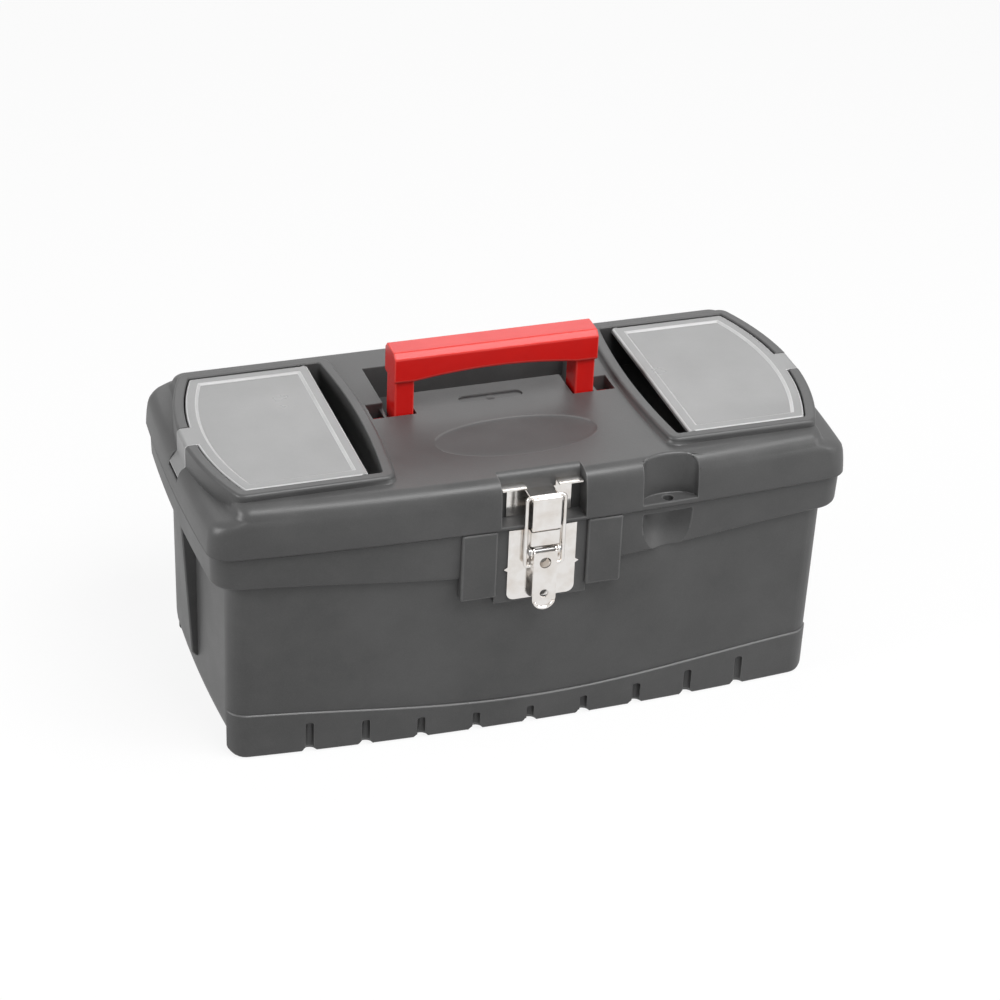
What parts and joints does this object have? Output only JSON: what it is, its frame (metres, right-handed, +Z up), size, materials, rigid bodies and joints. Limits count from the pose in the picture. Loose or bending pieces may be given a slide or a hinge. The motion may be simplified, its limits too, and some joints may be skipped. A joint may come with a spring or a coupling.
{
  "type": "tool box",
  "caption": "Moulded plastic tool box with a hinged lid, folding handle, covered bins in the lid, lift-out tray and a steel toggle latch with a padlock eye beside it.",
  "frame": {"origin": "on the floor under the middle of the lid's rim, half way between its ends and between its front and back", "axes": "+X along the length towards the padlock eye's end, +Y towards the rear hinges, so the latch faces -Y, +Z up"},
  "size_m": [0.418, 0.2162, 0.2255],
  "materials": {
    "body_plastic": "charcoal grey polypropylene with a fine grain",
    "handle_plastic": "glossy red polypropylene",
    "cover_plastic": "translucent grey, satin panel and clear border",
    "plated_steel": "bright nickel plate on sheet steel and wire",
    "pin_steel": "drawn steel wire"
  },
  "bodies": {
    "tub": {"tub": "body_plastic", "latch_base": "plated_steel", "latch_pin": "plated_steel", "latch_rivets": "plated_steel", "left_hinge_pin": "pin_steel", "right_hinge_pin": "pin_steel"},
    "lid": {"lid": "body_plastic", "latch_keeper": "plated_steel", "keeper_rivet": "plated_steel"},
    "handle": {"handle": "handle_plastic"},
    "left_cover": {"left_cover": "cover_plastic"},
    "right_cover": {"right_cover": "cover_plastic"},
    "tray": {"tray": "body_plastic"},
    "lever": {"latch_lever": "plated_steel"},
    "bail": {"latch_bail": "plated_steel"}
  },
  "joints": [
    {"name": "lid_hinge", "type": "hinge", "parent": "tub", "child": "lid", "pos_m": [0, 0.1035, 0.15], "axis": [-1, 0, 0], "range_deg": [0, 100]},
    {"name": "handle_fold", "type": "hinge", "parent": "lid", "child": "handle", "pos_m": [0, 0.0115, 0.172], "axis": [-1, 0, 0], "range_deg": [0, 90]},
    {"name": "left_cover_hinge", "type": "hinge", "parent": "lid", "child": "left_cover", "pos_m": [-0.1062, 0.0015, 0.1839], "axis": [0, 1, 0], "range_deg": [0, 110]},
    {"name": "right_cover_hinge", "type": "hinge", "parent": "lid", "child": "right_cover", "pos_m": [0.1062, 0.0015, 0.1839], "axis": [0, -1, 0], "range_deg": [0, 110]},
    {"name": "lever_pivot", "type": "hinge", "parent": "tub", "child": "lever", "pos_m": [0, -0.0995, 0.134], "axis": [-1, 0, 0], "range_deg": [0, 100]},
    {"name": "bail_pivot", "type": "hinge", "parent": "lever", "child": "bail", "pos_m": [0, -0.0995, 0.124], "axis": [-1, 0, 0], "range_deg": [-80, 0]},
    {"name": "tray_lift", "type": "slide", "parent": "tub", "child": "tray", "axis": [0, 0, 1], "range_m": [0, 0.005]}
  ],
  "couplings": [
    {"joint": "bail_pivot", "follows": "lever_pivot", "ratio": -0.8}
  ]
}
